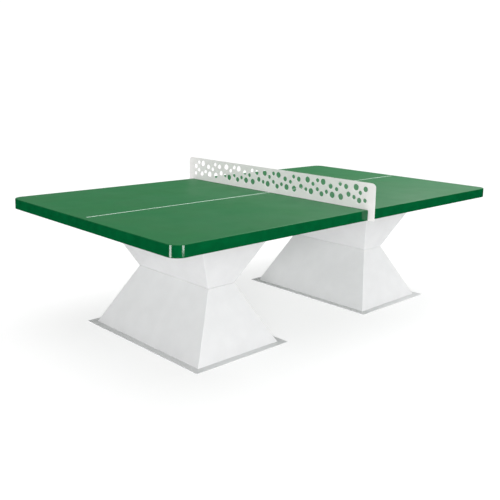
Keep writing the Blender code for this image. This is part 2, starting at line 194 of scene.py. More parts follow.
class TableSettings(bpy.types.PropertyGroup):
    """Everything that a user may change."""

    top: PointerProperty(type=TopSettings, name="Top", description="The cast top")
    net: PointerProperty(type=NetSettings, name="Net", description="The net and its angles")
    leg: PointerProperty(type=LegSettings, name="Legs", description="The two legs")
    fastener: PointerProperty(type=FastenerSettings, name="Fasteners", description="Bolts, screws and nuts")
    stage: PointerProperty(type=StageSettings, name="Stage", description="Floor, light and camera")


# ---- Mesh helpers ----


def arc(centre, radius, start_degrees, end_degrees, segments):
    """Points along an arc in a plane, both ends included."""
    points = []
    for i in range(segments + 1):
        angle = math.radians(start_degrees + (end_degrees - start_degrees) * i / segments)
        points.append((centre[0] + radius * math.cos(angle), centre[1] + radius * math.sin(angle)))
    return points


def quarter_levels(radius, segments):
    """Steps round a quarter circle, as pairs of inset from the side and distance from the face."""
    steps = [math.pi / 2 * i / segments for i in range(segments + 1)]
    return [(radius * (1 - math.cos(a)), radius * (1 - math.sin(a))) for a in steps]


def join_rows(bm, rows, closed_rows=False):
    """Makes faces between neighbouring rings of vertices, and from the last to the first if closed_rows."""
    following_rows = rows[1:] + (rows[:1] if closed_rows else [])
    for row, following in zip(rows, following_rows):
        for i in range(len(row)):
            j = (i + 1) % len(row)
            bm.faces.new((row[i], row[j], following[j], following[i]))


def add_rings(bm, rings):
    return [[bm.verts.new(point) for point in ring] for ring in rings]


def loft(bm, rings):
    """A closed body with flat ends from rings that have the same number of points."""
    rows = add_rings(bm, rings)
    join_rows(bm, rows)
    bm.faces.new(list(reversed(rows[0])))
    bm.faces.new(rows[-1])


def loft_ring(bm, rings):
    """A closed body round a hole, its last ring joined to its first."""
    join_rows(bm, add_rings(bm, rings), closed_rows=True)


def bake_modifiers(obj):
    """Swaps the object's mesh for the one that its modifiers make, and removes them."""
    bpy.context.view_layer.update()
    evaluated = obj.evaluated_get(bpy.context.evaluated_depsgraph_get())
    mesh = bpy.data.meshes.new_from_object(evaluated)
    old = obj.data
    obj.modifiers.clear()
    obj.data = mesh
    mesh.name = obj.name
    bpy.data.meshes.remove(old)


def cut_out(obj, cutter_bm):
    """Cuts the cutter's bodies out of the object."""
    bmesh.ops.recalc_face_normals(cutter_bm, faces=cutter_bm.faces)
    cutter_mesh = bpy.data.meshes.new("cutter")
    cutter_bm.to_mesh(cutter_mesh)
    cutter_bm.free()
    cutter = bpy.data.objects.new("cutter", cutter_mesh)
    bpy.context.scene.collection.objects.link(cutter)
    boolean = obj.modifiers.new("cut", "BOOLEAN")
    boolean.operation = "DIFFERENCE"
    boolean.solver = "EXACT"
    boolean.object = cutter
    bake_modifiers(obj)
    bpy.data.objects.remove(cutter)
    bpy.data.meshes.remove(cutter_mesh)


def add_object(name, bm, material):
    """An object from the bmesh, its faces turned outwards, in that material."""
    bmesh.ops.recalc_face_normals(bm, faces=bm.faces)
    mesh = bpy.data.meshes.new(name)
    bm.to_mesh(mesh)
    bm.free()
    mesh.materials.append(material)
    obj = bpy.data.objects.new(name, mesh)
    bpy.context.scene.collection.objects.link(obj)
    return obj


def smooth(obj):
    """Shades curved stretches smooth, keeps hard edges hard and lets large flat faces stay flat."""
    obj.data.shade_smooth()
    obj.data.set_sharp_from_angle(angle=SMOOTH_UNDER)
    weighted = obj.modifiers.new("flat faces stay flat", "WEIGHTED_NORMAL")
    weighted.keep_sharp = True
    weighted.weight = 100


def round_edges(obj, width):
    """Rounds the object's hard edges, as a sprayed coating does."""
    bevel = obj.modifiers.new("coated edges", "BEVEL")
    bevel.width = width
    bevel.segments = 2
    bevel.limit_method = "ANGLE"
    bevel.angle_limit = ROUNDED_OVER
    bake_modifiers(obj)


def finish_piece(obj, slot, *nodes):
    """Smooths a piece, makes it ride with the table and lets it stand for its CAD nodes, if it has any."""
    smooth(obj)
    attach(obj, BODY)
    if nodes:
        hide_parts(*nodes)
    return obj


def box_centre(node):
    low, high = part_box(node)
    return (low + high) / 2


def nodes_starting(prefix):
    found = sorted(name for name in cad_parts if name.startswith(prefix))
    if not found:
        raise RuntimeError(f"the packed model has no node starting with {prefix}")
    return found


# ---- Materials ----

# A Mix node's colours go in and out by these sockets.
MIX_FIRST = 6
MIX_SECOND = 7
MIX_RESULT = 2
RESIN_IOR = 1.50


def set_inputs(material, node, inputs):
    """Gives a node's sockets their values, or links them to other nodes' outputs."""
    for key, value in inputs.items():
        if isinstance(value, bpy.types.NodeSocket):
            material.node_tree.links.new(value, node.inputs[key])
        else:
            node.inputs[key].default_value = value


def add_node(material, kind, inputs=None, output=0, **settings):
    """Adds a shader node with its inputs and its own settings, and returns one of its outputs."""
    node = material.node_tree.nodes.new("ShaderNode" + kind)
    for key, value in settings.items():
        setattr(node, key, value)
    set_inputs(material, node, inputs or {})
    return node.outputs[output]


def new_material(name):
    """A new material, and the place on the object in metres, which its patterns start from."""
    material = bpy.data.materials.new(name)
    material.use_nodes = True
    return material, add_node(material, "TexCoord", output="Object")


def finished(material, inputs):
    """The material, with those inputs on its Principled shader."""
    set_inputs(material, material.node_tree.nodes["Principled BSDF"], inputs)
    return material


def uneven(material, place, size, between, values, detail=3.0, roughness=0.5):
    """A value that goes from one to another in cloudy patches about size metres across.

    A cloud's strength is from 0 to 1, and the stretch between two strengths is spread over the two values.
    """
    cloud = {"Vector": place, "Scale": 1.0 / size, "Detail": detail, "Roughness": roughness}
    spread = {"From Min": between[0], "From Max": between[1], "To Min": values[0], "To Max": values[1]}
    return add_node(material, "MapRange", {"Value": add_node(material, "TexNoise", cloud), **spread})


def mottled(material, place, size, first, second, between=(0.35, 0.65), most=1.0, detail=3.0):
    """The first colour, with cloudy patches about size metres across of at most that share of the second."""
    share = uneven(material, place, size, between, (0.0, most), detail)
    colours = {0: share, MIX_FIRST: first, MIX_SECOND: second}
    return add_node(material, "Mix", colours, MIX_RESULT, data_type="RGBA")


def raised(material, place, size, depth, detail=1.0, roughness=0.5, over=None):
    """The way a surface faces when a cloudy pattern, up to depth metres high, is laid over another."""
    cloud = {"Vector": place, "Scale": 1.0 / size, "Detail": detail, "Roughness": roughness}
    inputs = {"Height": add_node(material, "TexNoise", cloud), "Distance": depth, "Strength": 1.0}
    if over:
        inputs["Normal"] = over
    return add_node(material, "Bump", inputs)


def shade(base, factor=1.0):
    """The base colour times a factor, or times one factor for each of red, green and blue. It is opaque."""
    factors = factor if isinstance(factor, tuple) else (factor, factor, factor)
    return (*(min(1.0, channel * share) for channel, share in zip(base, factors)), 1.0)


def satin_gelcoat(name, settings):
    """The playing surface: green polyester gelcoat, flatted with fine paper so that it doesn't glare.

    It gives a hazy satin green. The mineral fill behind it shows through as a faint grain, slow patches of
    olive and deeper green show where the coat is thinner or thicker, and wiping has left short dull scuffs.
    """
    material, place = new_material(name)
    green = settings.green
    olive = shade(green, (6.0, 0.93, 0.70))
    # The patches are 260 mm and 70 mm across, and the grain is the 3 mm grit of the casting.
    patched = mottled(material, place, 260 * MM, shade(green), olive, (0.40, 0.68), 0.55)
    clouded = mottled(material, place, 70 * MM, shade(green, 0.93), shade(green, 1.07))
    deep, pale = shade(green, 0.88), shade(green, 1.12)
    grained = mottled(material, place, 3 * MM, deep, pale, (0.40, 0.60), detail=1.0)
    halves = {0: 0.5, MIX_FIRST: patched, MIX_SECOND: clouded}
    mixed = add_node(material, "Mix", halves, MIX_RESULT, data_type="RGBA")
    with_grain = {0: 0.22, MIX_FIRST: mixed, MIX_SECOND: grained}
    # Scuffs are drawn out along the table by squeezing the pattern's place: 4 mm wide and 80 mm long.
    squeezed = add_node(material, "Mapping", {"Vector": place, "Scale": (0.05, 1.0, 1.0)})
    scuffs = uneven(material, squeezed, 4 * MM, (0.55, 0.75), (0.0, 0.02), roughness=0.6)
    haze = uneven(material, place, 300 * MM, (0.35, 0.65), (0.46, 0.54), detail=2.0)
    # The mould's ripple is 40 mm from crest to crest, and the paper's fine texture 3 mm.
    ripple = raised(material, place, 40 * MM, 0.03 * MM)
    return finished(material, {
        "Base Color": add_node(material, "Mix", with_grain, MIX_RESULT, data_type="RGBA"),
        "Roughness": add_node(material, "Math", {0: scuffs, 1: haze}, operation="ADD"),
        "IOR": RESIN_IOR,
        "Specular IOR Level": 0.40,
        "Normal": raised(material, place, 3 * MM, 0.006 * MM, over=ripple),
    })


def glossy_gelcoat(name, settings):
    """The edge: the same gelcoat, left as it came from the polished mould.

    It gives a deep wet green with crisp highlights that a slow ripple bends a little; the deeper green is
    painted shade on the upright faces, darker than the playing surface's. Knocks and wiping have left faint
    dull marks.
    """
    material, place = new_material(name)
    # This darker green is painted shade on the top's upright faces.
    green = settings.edge_green_painted_shade
    # The ripple left by the mould is 25 mm from crest to crest.
    return finished(material, {
        "Base Color": mottled(material, place, 50 * MM, shade(green, 0.90), shade(green, 1.10)),
        "Roughness": uneven(material, place, 9 * MM, (0.50, 0.75), (0.09, 0.13), 4.0, 0.6),
        "IOR": RESIN_IOR,
        "Specular IOR Level": 0.30,
        "Normal": raised(material, place, 25 * MM, 0.02 * MM),
    })


def cast_underside(name, settings):
    """The casting's trowelled back: unpolished green resin with grit, dull and rough."""
    material, place = new_material(name)
    dull = tuple(channel * 0.7 + 0.03 for channel in settings.green)
    deep = shade(dull, 0.75)
    # The trowel's sweeps are 45 mm apart, and the grit is 2.5 mm.
    sweeps = raised(material, place, 45 * MM, 0.5 * MM, 2.0)
    return finished(material, {
        "Base Color": mottled(material, place, 60 * MM, deep, shade(dull), (0.3, 0.7), detail=4.0),
        "Roughness": uneven(material, place, 2.5 * MM, (0.3, 0.7), (0.60, 0.85), 3.0, 0.7),
        "Normal": raised(material, place, 2.5 * MM, 0.15 * MM, 3.0, 0.7, sweeps),
    })


def inlaid_line(name, settings):
    """White gelcoat run into the groove and rubbed flush: matt, and uneven where green shows through."""
    material, place = new_material(name)
    white = settings.line_white
    # Thin places are 9 mm across, and the rubbing left a texture of 2 mm.
    return finished(material, {
        "Base Color": mottled(material, place, 9 * MM, shade(white), shade(white, 0.62), (0.45, 0.75), 0.15),
        "Roughness": uneven(material, place, 2 * MM, (0.3, 0.7), (0.36, 0.52), 2.0),
        "IOR": RESIN_IOR,
        "Normal": raised(material, place, 2 * MM, 0.02 * MM, 2.0),
    })


def powder_coat(name, base, gloss):
    """Polyester powder, sprayed on steel and baked: an even colour, a satin sheen and a fine orange peel.

    Dust has settled on it as a very faint cloud, 90 mm across, with a few darker specks of 5 mm.
    """
    material, place = new_material(name)
    clouded = mottled(material, place, 90 * MM, shade(base, 0.975), shade(base, 1.01))
    # Orange peel is 1.5 mm from crest to crest on the real coat. It is drawn at 2.5 mm so that it shows.
    peel = 2.5 * MM
    return finished(material, {
        "Base Color": mottled(material, place, 5 * MM, clouded, shade(base, 0.80), (0.60, 0.72), 0.10, 2.0),
        "Roughness": uneven(material, place, peel, (0.3, 0.7), (gloss - 0.04, gloss + 0.05), 1.0),
        "IOR": RESIN_IOR,
        "Normal": raised(material, place, peel, 0.03 * MM),
    })


def zinc_plate(name, settings):
    """Steel plated with zinc and passivated: a bright bluish metal with a fine bloom of duller patches."""
    material, place = new_material(name)
    metal = settings.zinc
    bloom = 4 * MM
    duller = shade(metal, (0.82, 0.85, 0.93))
    # Machining marks are 0.3 mm apart on the real part. They are drawn at 0.6 mm so that they show.
    return finished(material, {
        "Base Color": mottled(material, place, bloom, shade(metal), duller),
        "Metallic": 1.0,
        "Roughness": uneven(material, place, bloom, (0.35, 0.65), (0.26, 0.42)),
        "Normal": raised(material, place, 0.6 * MM, 0.008 * MM),
    })


def extruded_rubber(name):
    """Black EPDM rubber strip, extruded: matt, nearly black, with a dusty bloom in patches of 12 mm."""
    material, place = new_material(name)
    bloom = 12 * MM
    dark = shade(linear_colour("#17181a"))
    dusty = shade(linear_colour("#2b2d2f"))
    return finished(material, {
        "Base Color": mottled(material, place, bloom, dark, dusty, (0.4, 0.7)),
        "Roughness": uneven(material, place, bloom, (0.4, 0.7), (0.62, 0.80)),
        "Normal": raised(material, place, 1.2 * MM, 0.03 * MM, 2.0),
    })


def once(name, make, *arguments):
    """The material of that name, made if it isn't there yet."""
    return bpy.data.materials.get(name) or make(name, *arguments)


def leg_coat(settings):
    return once("polyester_powder_coat_satin_white", powder_coat, settings.leg.white, 0.42)


def net_coat(settings):
    return once("polyester_powder_coat_satin_pale_grey", powder_coat, settings.net.grey, 0.38)


def zinc(settings):
    return once("zinc_plate_blue_passivated", zinc_plate, settings.fastener)


def refinish(node, material):
    """Gives a CAD node that keeps its shape a better material."""
    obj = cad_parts[node]
    obj.data.materials.clear()
    obj.data.materials.append(material)


# ---- Top ----

CORNER_STEPS = 20
TOP_ARRIS_STEPS = 6
UNDER_ARRIS_STEPS = 4
HOLE_POINTS = 40
HOLE_SHARE = 1.12  # a clearance hole's radius, as a share of the thread's
# A face is on the underside or on the edge when its normal's z is under these.
UNDERSIDE_FACES_BELOW = -0.99
EDGE_FACES_BELOW = 0.75


def half_plan(node, side, settings, inset):
    """One half of the top in plan, taken in by inset, with its two outer corners rounded."""
    low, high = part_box(node)
    end = max(abs(low.x), abs(high.x)) - inset
    joint = min(abs(low.x), abs(high.x)) + inset * settings.joint_share
    edge = high.y - inset
    radius = settings.corner_radius - inset
    plan = [(joint, -edge)]
    plan += arc((end - radius, -edge + radius), radius, -90, 0, CORNER_STEPS)
    plan += arc((end - radius, edge - radius), radius, 0, 90, CORNER_STEPS)
    plan.append((joint, edge))
    return [(side * x, y) for x, y in plan]


def screws_into(label):
    """The CAD screws that go up into one half of the top."""
    return nodes_starting(f"leg_{label}_top_screw_") + nodes_starting(f"net_angle_screw_{label}_")


def add_rods(bm, nodes, axis, face, start, end, radius):
    """Round bars along an axis through nodes' middles, from start to end past a face's place on it."""
    for node in nodes:
        centre = box_centre(node)
        centre["XYZ".index(axis)] = face
        rings = []
        for along in (start, end):
            ring = []
            for across, other in arc((0.0, 0.0), radius, 0, 360, HOLE_POINTS)[:-1]:
                offset = (along, across, other) if axis == "X" else (across, other, along)
                ring.append(centre + Vector(offset))
            rings.append(ring)
        loft(bm, rings)


def make_top_half(label, side, settings):
    """Half of the slab, in three finishes, with the centre line's groove and blind holes for the inserts."""
    node = "top_half_" + label
    low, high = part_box(node)
    under = quarter_levels(settings.under_arris, UNDER_ARRIS_STEPS)
    levels = [(inset, low.z + rise) for inset, rise in reversed(under)]
    levels += [(inset, high.z - drop) for inset, drop in quarter_levels(settings.top_arris, TOP_ARRIS_STEPS)]
    bm = bmesh.new()
    loft(bm, [[(x, y, z) for x, y in half_plan(node, side, settings, inset)] for inset, z in levels])
    satin = once("polyester_gelcoat_flatted_satin_green", satin_gelcoat, settings)
    half = add_object(f"cast_top_{label}", bm, satin)
    half.data.materials.append(once("polyester_gelcoat_moulded_glossy_green", glossy_gelcoat, settings))
    half.data.materials.append(once("polymer_concrete_trowelled_green", cast_underside, settings))
    # Upright faces take the edge material, whose darker green is painted shade; the underside takes the cast
    # back.
    for face in half.data.polygons:
        if face.normal.z < UNDERSIDE_FACES_BELOW:
            face.material_index = 2
        elif face.normal.z < EDGE_FACES_BELOW:
            face.material_index = 1
    cutter = bmesh.new()
    line_low, line_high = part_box("centre_line_" + label)
    xs = (line_low.x, line_high.x, line_high.x, line_low.x)
    ys = (line_low.y, line_low.y, line_high.y, line_high.y)
    reach = settings.top_arris
    loft(cutter, [[(x, y, z) for x, y in zip(xs, ys)] for z in (line_low.z, line_high.z + reach)])
    add_rods(cutter, screws_into(label), "Z", low.z, -reach, settings.insert_length, settings.insert_radius)
    cut_out(half, cutter)
    return finish_piece(half, "green_top", node)


class TABLE_OT_cast_tops(bpy.types.Operator):
    """Make both halves of the cast top, with rounded corners, the line's groove and the inserts' holes"""

    bl_idname = "tennis_table.cast_tops"
    bl_label = "Cast Tops"

    def execute(self, context):
        for label, side in SIDES.items():
            make_top_half(label, side, context.scene.tennis_table.top)
        return {"FINISHED"}


class TABLE_OT_centre_lines(bpy.types.Operator):
    """Finish the inlaid white centre line on both halves"""

    bl_idname = "tennis_table.centre_lines"
    bl_label = "Centre Lines"

    def execute(self, context):
        white = once("polyester_gelcoat_rubbed_white", inlaid_line, context.scene.tennis_table.top)
        for label in SIDES:
            refinish("centre_line_" + label, white)
        return {"FINISHED"}


# ---- Net ----

NET_ARC_STEPS = 12
NET_HOLE_POINTS = 36
COAT_STEPS = 2
TOE_STEPS = 5
ROOT_STEPS = 8
WELD_DISTANCE = 0.01 * MM


def net_holes(node):
    """Radius and centre of every round hole through the net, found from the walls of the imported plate."""
    bm = bmesh.new()
    bm.from_mesh(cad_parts[node].data)
    bmesh.ops.remove_doubles(bm, verts=bm.verts, dist=WELD_DISTANCE)
    bm.normal_update()
    walls = {face for face in bm.faces if abs(face.normal.x) < 0.5}
    groups = []
    while walls:
        waiting = [walls.pop()]
        group = set()
        while waiting:
            face = waiting.pop()
            group.update(face.verts)
            for edge in face.edges:
                for other in edge.link_faces:
                    if other in walls:
                        walls.remove(other)
                        waiting.append(other)
        groups.append([(vert.co.y, vert.co.z) for vert in group])
    bm.free()
    holes = []
    for points in groups:
        low = [min(p[i] for p in points) for i in (0, 1)]
        high = [max(p[i] for p in points) for i in (0, 1)]
        centre = ((low[0] + high[0]) / 2, (low[1] + high[1]) / 2)
        holes.append((max(math.dist(centre, p) for p in points), centre))
    # The walls of the plate's own outline make the largest loop, which isn't a hole.
    return sorted(holes)[:-1]


def net_outline(settings, inset):
    """The net's outline in y and z, taken in by inset: ears past the top's edges, and a tongue under it."""
    low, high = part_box("net_plate")
    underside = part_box("top_half_left")[0].z
    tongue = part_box("net_angle_left")[1].y - inset
    half = high.y - inset
    top = high.z - inset
    shelf = underside + inset
    big = settings.corner_radius - inset
    small = settings.small_radius - inset
    plan = arc((half - big, top - big), big, 0, 90, NET_ARC_STEPS)
    plan += arc((-half + big, top - big), big, 90, 180, NET_ARC_STEPS)
    plan += arc((-half + small, shelf + small), small, 180, 270, NET_ARC_STEPS // 3)
    plan += [(-tongue, shelf), (-tongue, low.z + inset), (tongue, low.z + inset), (tongue, shelf)]
    plan += arc((half - small, shelf + small), small, 270, 360, NET_ARC_STEPS // 3)
    return plan


def make_net(settings):
    """The perforated plate, lofted from one face to the other, with its coated edges rounded."""
    low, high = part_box("net_plate")
    rounding = quarter_levels(settings.net.edge_round, COAT_STEPS)
    stations = [(inset, high.x - drop) for inset, drop in reversed(rounding)]
    stations += [(inset, low.x + high.x - x) for inset, x in reversed(stations)]
    bm = bmesh.new()
    ends = ([], [])
    loops = [[net_outline(settings.net, inset) for inset, x in stations]]
    for radius, centre in net_holes("net_plate"):
        loops.append([arc(centre, radius + inset, 0, 360, NET_HOLE_POINTS)[:-1] for inset, x in stations])
    for loop in loops:
        rows = add_rings(bm, [[(x, y, z) for y, z in ring] for (inset, x), ring in zip(stations, loop)])
        join_rows(bm, rows)
        ends[0].extend(rows[0])
        ends[1].extend(rows[-1])
    for end in ends:
        members = set(end)
        rim = [edge for edge in bm.edges if edge.verts[0] in members and edge.verts[1] in members]
        bmesh.ops.triangle_fill(bm, edges=rim, use_beauty=True, use_dissolve=False)
    net = add_object("net", bm, net_coat(settings))
    return finish_piece(net, "net_coat", "net_plate")


class TABLE_OT_net(bpy.types.Operator):
    """Make the perforated steel net, with round holes and coated edges"""

    bl_idname = "tennis_table.net"
    bl_label = "Net"

    def execute(self, context):
        make_net(context.scene.tennis_table)
        return {"FINISHED"}


class TABLE_OT_gaskets(bpy.types.Operator):
    """Finish the rubber strips on both sides of the net"""

    bl_idname = "tennis_table.gaskets"
    bl_label = "Gaskets"

    def execute(self, context):
        rubber = once("epdm_rubber_extruded_black", extruded_rubber)
        for label in SIDES:
            refinish("net_gasket_" + label, rubber)
        return {"FINISHED"}


def angle_section(settings, arm):
    """A rolled angle's outline: x away from the net, and z down from the top."""
    thick = settings.angle_thickness
    root = settings.root_radius
    toe = settings.toe_radius
    section = [(0.0, 0.0), (arm, 0.0)]
    section += arc((arm - toe, -thick + toe), toe, 0, -90, TOE_STEPS)
    section += arc((thick + root, -thick - root), root, 90, 180, ROOT_STEPS)
    section += arc((thick - toe, -arm + toe), toe, 0, -90, TOE_STEPS)
    section.append((0.0, -arm))
    return section


def make_net_angle(label, side, settings):
    """One rolled angle, with holes for the clamp bolts and for its screws into the top."""
    node = "net_angle_" + label
    low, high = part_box(node)
    inner = min(abs(low.x), abs(high.x))
    section = angle_section(settings.net, high.x - low.x)
    bm = bmesh.new()
    loft(bm, [[(side * (inner + x), y, high.z + z) for x, z in section] for y in (low.y, high.y)])
    angle = add_object(f"rolled_angle_{label}", bm, leg_coat(settings))
    cutter = bmesh.new()
    radius = settings.fastener.shank_radius * HOLE_SHARE
    reach = settings.net.angle_thickness * 2
    add_rods(cutter, nodes_starting("net_clamp_bolt_"), "X", side * inner, -reach, reach, radius)
    add_rods(cutter, nodes_starting(f"net_angle_screw_{label}_"), "Z", high.z, -reach, reach, radius)
    cut_out(angle, cutter)
    round_edges(angle, settings.leg.edge_round)
    return finish_piece(angle, "leg_coat", node)


class TABLE_OT_net_angles(bpy.types.Operator):
    """Make the two rolled angles that clamp the net's tongue under the top"""

    bl_idname = "tennis_table.net_angles"
    bl_label = "Net Angles"

    def execute(self, context):
        for label, side in SIDES.items():
            make_net_angle(label, side, context.scene.tennis_table)
        return {"FINISHED"}


# ---- Legs ----

FOLD_STEPS = 6
SEAM_STEPS = 4
LEG_FACES = ("inner", "outer", "front", "back")


def bent(points, radius, steps):
    """A line through points, with each inner corner turned into an arc of that radius."""
    path = [Vector(points[0])]
    for before, corner, after in zip(points, points[1:], points[2:]):
        corner = Vector(corner)
        back = (Vector(before) - corner).normalized()
        on = (Vector(after) - corner).normalized()
        half_angle = back.angle(on) / 2
        centre = corner + (back + on).normalized() * (radius / math.sin(half_angle))
        start = corner + back * (radius / math.tan(half_angle)) - centre
        end = corner + on * (radius / math.tan(half_angle)) - centre
        first = math.atan2(start.y, start.x)
        turn = math.remainder(math.atan2(end.y, end.x) - first, 2 * math.pi)
        for i in range(steps + 1):
            angle = first + turn * i / steps
            path.append(centre + radius * Vector((math.cos(angle), math.sin(angle))))
    path.append(Vector(points[-1]))
    return path


def thickened(path, thickness):
    """The outline of a sheet whose middle follows the path: one face out, the other face back."""
    faces = ([], [])
    for i, point in enumerate(path):
        before = (point - path[i - 1]).normalized() if i else None
        after = (path[i + 1] - point).normalized() if i + 1 < len(path) else None
        before = before or after
        after = after or before
        along = (before + after).normalized()
        reach = thickness / 2 / max(0.1, along.dot(after))
        normal = Vector((-along.y, along.x))
        faces[0].append(point + normal * reach)
        faces[1].append(point - normal * reach)
    return faces[0] + list(reversed(faces[1]))


def rounded_ring(centre_x, half_x, half_y, radius, z):
    """A level rectangle round the leg's middle with rounded corners, as points in order."""
    ring = []
    for sx, sy, start in ((1, -1, -90), (1, 1, 0), (-1, 1, 90), (-1, -1, 180)):
        corner = (centre_x + sx * (half_x - radius), sy * (half_y - radius))
        ring += [(x, y, z) for x, y in arc(corner, radius, start, start + 90, SEAM_STEPS)]
    return ring


def wall_place(foot_half, waist_half, height, rise, sheet):
    """Distance of a wall's outer skin from the leg's middle at a height above the flange's outer face."""
    return foot_half + (waist_half - foot_half) * (height - sheet) / rise


def leg_section(settings, rise):
    """A folded wall's outline, as pairs of distance from the leg's middle and height above the flange."""
    sheet = settings.sheet
    foot = settings.foot_length / 2
    waist = settings.waist_length / 2
    skin = sheet / 2 * math.hypot(1, (foot - waist) / rise)
    low = sheet / 2
    high = rise + sheet / 2
    middle = [
        (foot + settings.flange, low),
        (wall_place(foot, waist, low, rise, sheet) - skin, low),
        (wall_place(foot, waist, high, rise, sheet) - skin, high),
        (waist - settings.lip, high),
    ]
    return thickened(bent(middle, settings.bend_radius + sheet / 2, FOLD_STEPS), sheet)


def make_leg_tier(label, tier, settings):
    """One frustum of a leg: four folded walls, welded and ground at their corners."""
    nodes = [f"leg_{label}_{tier}_{face}" for face in LEG_FACES]
    boxes = [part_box(node) for node in nodes]
    low = min(box[0].z for box in boxes)
    high = max(box[1].z for box in boxes)
    centre_x = (min(box[0].x for box in boxes) + max(box[1].x for box in boxes)) / 2
    leg = settings.leg
    rise = high - low - leg.sheet
    length_sizes = (leg.foot_length / 2, leg.waist_length / 2)
    width_sizes = (leg.foot_width / 2, leg.waist_width / 2)
    rings = []
    for out, height in leg_section(leg, rise):
        past_wall = out - wall_place(*length_sizes, height, rise, leg.sheet)
        half_y = wall_place(*width_sizes, height, rise, leg.sheet) + past_wall
        z = low + height if tier == "lower" else high - height
        rings.append(rounded_ring(centre_x, out, half_y, leg.corner_radius, z))
    bm = bmesh.new()
    loft_ring(bm, rings)
    shell = add_object(f"leg_{label}_{tier}_shell", bm, leg_coat(settings))
    cutter = bmesh.new()
    radius = settings.fastener.shank_radius * HOLE_SHARE
    reach = 2 * leg.sheet
    waist = high if tier == "lower" else low
    add_rods(cutter, nodes_starting(f"leg_{label}_waist_bolt_"), "Z", waist, -reach, reach, radius)
    if tier == "upper":
        add_rods(cutter, nodes_starting(f"leg_{label}_top_screw_"), "Z", high, -reach, reach, radius)
    cut_out(shell, cutter)
    round_edges(shell, leg.edge_round)
    return finish_piece(shell, "leg_coat", *nodes)


class TABLE_OT_legs(bpy.types.Operator):
    """Make the two frusta of both legs, with folded flanges and lips and ground corner welds"""

    bl_idname = "tennis_table.legs"
    bl_label = "Legs"

    def execute(self, context):
        for label in SIDES:
            for tier in ("lower", "upper"):
                make_leg_tier(label, tier, context.scene.tennis_table)
        return {"FINISHED"}


class TABLE_OT_waist_backings(bpy.types.Operator):
    """Finish the tapped ring plates behind both legs' waists"""

    bl_idname = "tennis_table.waist_backings"
    bl_label = "Waist Backings"

    def execute(self, context):
        for label in SIDES:
            refinish(f"leg_{label}_waist_backing", zinc(context.scene.tennis_table))
        return {"FINISHED"}


# ---- Fasteners ----

THREAD_STEPS = 4
THREAD_DEPTH_IN_PITCHES = 0.54
BORE_CLEARANCE = 0.35 * MM
BORE_CHAMFER = 0.5 * MM
NUT_THREAD_INSET = 0.6 * MM
CHAMFER_STEPS = 4
CHAMFER_START = 0.95  # of the way from a hexagon's middle to its flats
CHAMFER_SLOPE = math.tan(math.radians(30))
FLATS_BY_CORNERS = math.cos(math.pi / 6)  # a hexagon's width over its flats, by its width over its corners
HEAD_HEIGHT = 7.5 * MM
# A bolt's flange slopes up in a cone to just past the hexagon's corners. Heights are from the flange's edge.
CONE_TOP = 0.8 * MM
CONE_RADIUS_IN_CORNERS = 1.01
HEXAGON_FOOT = 1.0 * MM
RIM_ROUND = 0.25 * MM
PLAIN_NECK = 1.0 * MM
TIP_LENGTH = 0.5 * MM
TIP_SHARE = 0.86


def hexagon_reach(angle, flat_radius):
    """Distance from the middle of a hexagon to its side, in the direction of angle."""
    sixth = math.pi / 3
    return flat_radius / math.cos((angle + sixth / 2) % sixth - sixth / 2)


def turned_rings(place, stations, points):
    """Rings of points round an axis, from pairs of distance along it and reach.

    A reach is a radius, or a function that gives one for an angle.
    """
    rings = []
    for along, reach in stations:
        ring = []
        for i in range(points):
            angle = 2 * math.pi * i / points
            radius = reach(angle) if callable(reach) else reach
            ring.append(place @ Vector((radius * math.cos(angle), radius * math.sin(angle), along)))
        rings.append(ring)
    return rings


def threaded(radius, pitch, along):
    """The thread's reach at a distance along the axis: a ridge that climbs one pitch in each turn."""
    depth = THREAD_DEPTH_IN_PITCHES * pitch
    return lambda angle: radius - depth / 2 + depth / 2 * math.cos(2 * math.pi * along / pitch - angle)


def hexagon_levels(fastener, height, chamfer_both=False):
    """Stations up a hexagon from its foot, as pairs of height and reach, with its corners turned off."""
    flat = fastener.across_flats / 2
    start = CHAMFER_START * flat
    drop = (flat / FLATS_BY_CORNERS - start) * CHAMFER_SLOPE

    def reach_at(level):
        limit = start + (height - level) / CHAMFER_SLOPE
        if chamfer_both:
            limit = min(limit, start + level / CHAMFER_SLOPE)
        return lambda angle: min(hexagon_reach(angle, flat), limit)

    shares = [i / CHAMFER_STEPS for i in range(CHAMFER_STEPS + 1)]
    lower = [drop * share for share in shares] if chamfer_both else [0.0]
    upper = [height - drop * share for share in reversed(shares)]
    return [(level, reach_at(level)) for level in lower + upper]


def seat_frame(place, direction):
    """A frame at place whose z points along direction."""
    turn = Vector((0.0, 0.0, 1.0)).rotation_difference(Vector(direction))
    return Matrix.Translation(place) @ turn.to_matrix().to_4x4()


def thread_stations(fastener, start, end):
    """Stations down a threaded shank, from start to end past the head's seat, with a turned tip."""
    count = max(2, round((end - start) / fastener.pitch * THREAD_STEPS))
    stations = []
    for i in range(count + 1):
        along = start + (end - start) * i / count
        stations.append((-along, threaded(fastener.shank_radius, fastener.pitch, along)))
    stations.append((-end - TIP_LENGTH, fastener.shank_radius * TIP_SHARE))
    return stations


